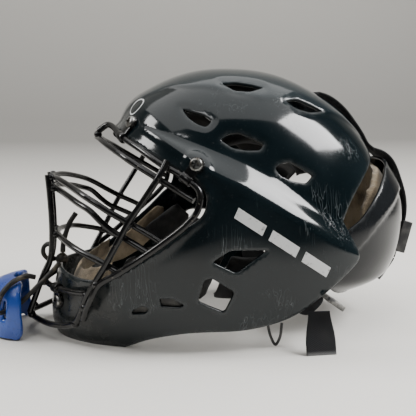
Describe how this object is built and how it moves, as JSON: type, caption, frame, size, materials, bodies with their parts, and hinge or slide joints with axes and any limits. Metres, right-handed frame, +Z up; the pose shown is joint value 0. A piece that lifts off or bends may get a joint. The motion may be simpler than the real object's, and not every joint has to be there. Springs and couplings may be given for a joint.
{
  "type": "catchers mask",
  "caption": "Hockey style catcher's mask: glossy black shell with a welded wire cage, strapped back plate, pads and a blue throat guard hung on a leather lace.",
  "frame": {"origin": "on the floor, under the middle of the bounding box", "axes": "-X is where the face looks, -Y is the wearer's left side, +Z is up"},
  "size_m": [0.394, 0.232, 0.231],
  "materials": {
    "shell": "glossy, fine scratches and dust",
    "plate": "glossy, light scuffs",
    "wire": "semi gloss powder coat, worn at the welds",
    "steel": "satin, slightly tarnished",
    "foam": "matte black lining over foam",
    "lining": "tan lining, soiled and worn",
    "webbing": "woven black elastic and webbing",
    "buckle": "satin moulded plastic",
    "worn_buckle": "grey, rubbed",
    "guard": "royal blue, satin gloss, scuffed edges",
    "leather": "black lace leather, tan worn edges"
  },
  "bodies": {
    "helmet": {"cage_brow_bar": "wire", "cage_eye_bar": "wire", "cage_middle_bar": "wire", "cage_mouth_bar": "wire", "cage_chin_top_bar": "wire", "cage_chin_bottom_bar": "wire", "cage_side_bar_left": "wire", "cage_side_bar_right": "wire", "cage_frame_left": "wire", "cage_frame_right": "wire", "cage_nose_bar_left": "wire", "cage_nose_bar_right": "wire", "forehead_clip_left": "wire", "forehead_clip_right": "wire", "temple_clip_left": "wire", "temple_clip_right": "wire", "chin_clip_left": "wire", "chin_clip_right": "wire", "forehead_screw_left": "steel", "forehead_screw_right": "steel", "forehead_nut_left": "steel", "forehead_nut_right": "steel", "temple_screw_left": "steel", "temple_screw_right": "steel", "temple_nut_left": "steel", "temple_nut_right": "steel", "chin_screw_left": "steel", "chin_screw_right": "steel", "chin_nut_left": "steel", "chin_nut_right": "steel", "main_shell": "shell", "brow_pad": "foam", "crown_pad": "foam", "side_pad_left": "foam", "side_pad_right": "foam", "cheek_pad_left": "foam", "cheek_pad_right": "foam", "jaw_pad_left": "foam", "jaw_pad_right": "foam", "chin_pad": "lining", "rear_strap_loop": "webbing", "lower_strap_left": "webbing", "lower_strap_right": "webbing", "strap_hook_left": "buckle", "strap_hook_right": "buckle", "triglide_left": "worn_buckle", "triglide_right": "worn_buckle", "lace_hanger": "leather", "lace_loop": "leather", "lace_tail": "leather", "lace_knot": "leather"},
    "back_plate": {"back_plate": "plate", "back_plate_pad": "lining", "rear_strap": "webbing", "rear_strap_end": "webbing"},
    "rear_slider": {"rear_slider": "buckle"},
    "throat_guard": {"throat_guard": "guard", "lace_run": "leather"},
    "strap_tail_left": {"strap_tail_left": "webbing"},
    "strap_tail_right": {"strap_tail_right": "webbing"}
  },
  "joints": [
    {"name": "back_plate_swing", "type": "hinge", "parent": "helmet", "child": "back_plate", "pos_m": [0.14974, 0, 0.16], "axis": [0, -1, 0], "range_deg": [0, 18], "stiffness_Nm_per_rad": 0.6},
    {"name": "rear_slider_slide", "type": "slide", "parent": "back_plate", "child": "rear_slider", "axis": [0.2425, 0, 0.9701], "range_m": [-0.004, 0.004]},
    {"name": "throat_guard_swing", "type": "hinge", "parent": "helmet", "child": "throat_guard", "pos_m": [-0.14526, 0, 0.045], "axis": [0, 1, 0], "range_deg": [0, 40]},
    {"name": "strap_tail_left_swing", "type": "hinge", "parent": "helmet", "child": "strap_tail_left", "pos_m": [0.07724, -0.103, 0.0335], "axis": [-1, 0, 0], "range_deg": [0, 60]},
    {"name": "strap_tail_right_swing", "type": "hinge", "parent": "helmet", "child": "strap_tail_right", "pos_m": [0.07724, 0.103, 0.0335], "axis": [1, 0, 0], "range_deg": [0, 60]}
  ]
}
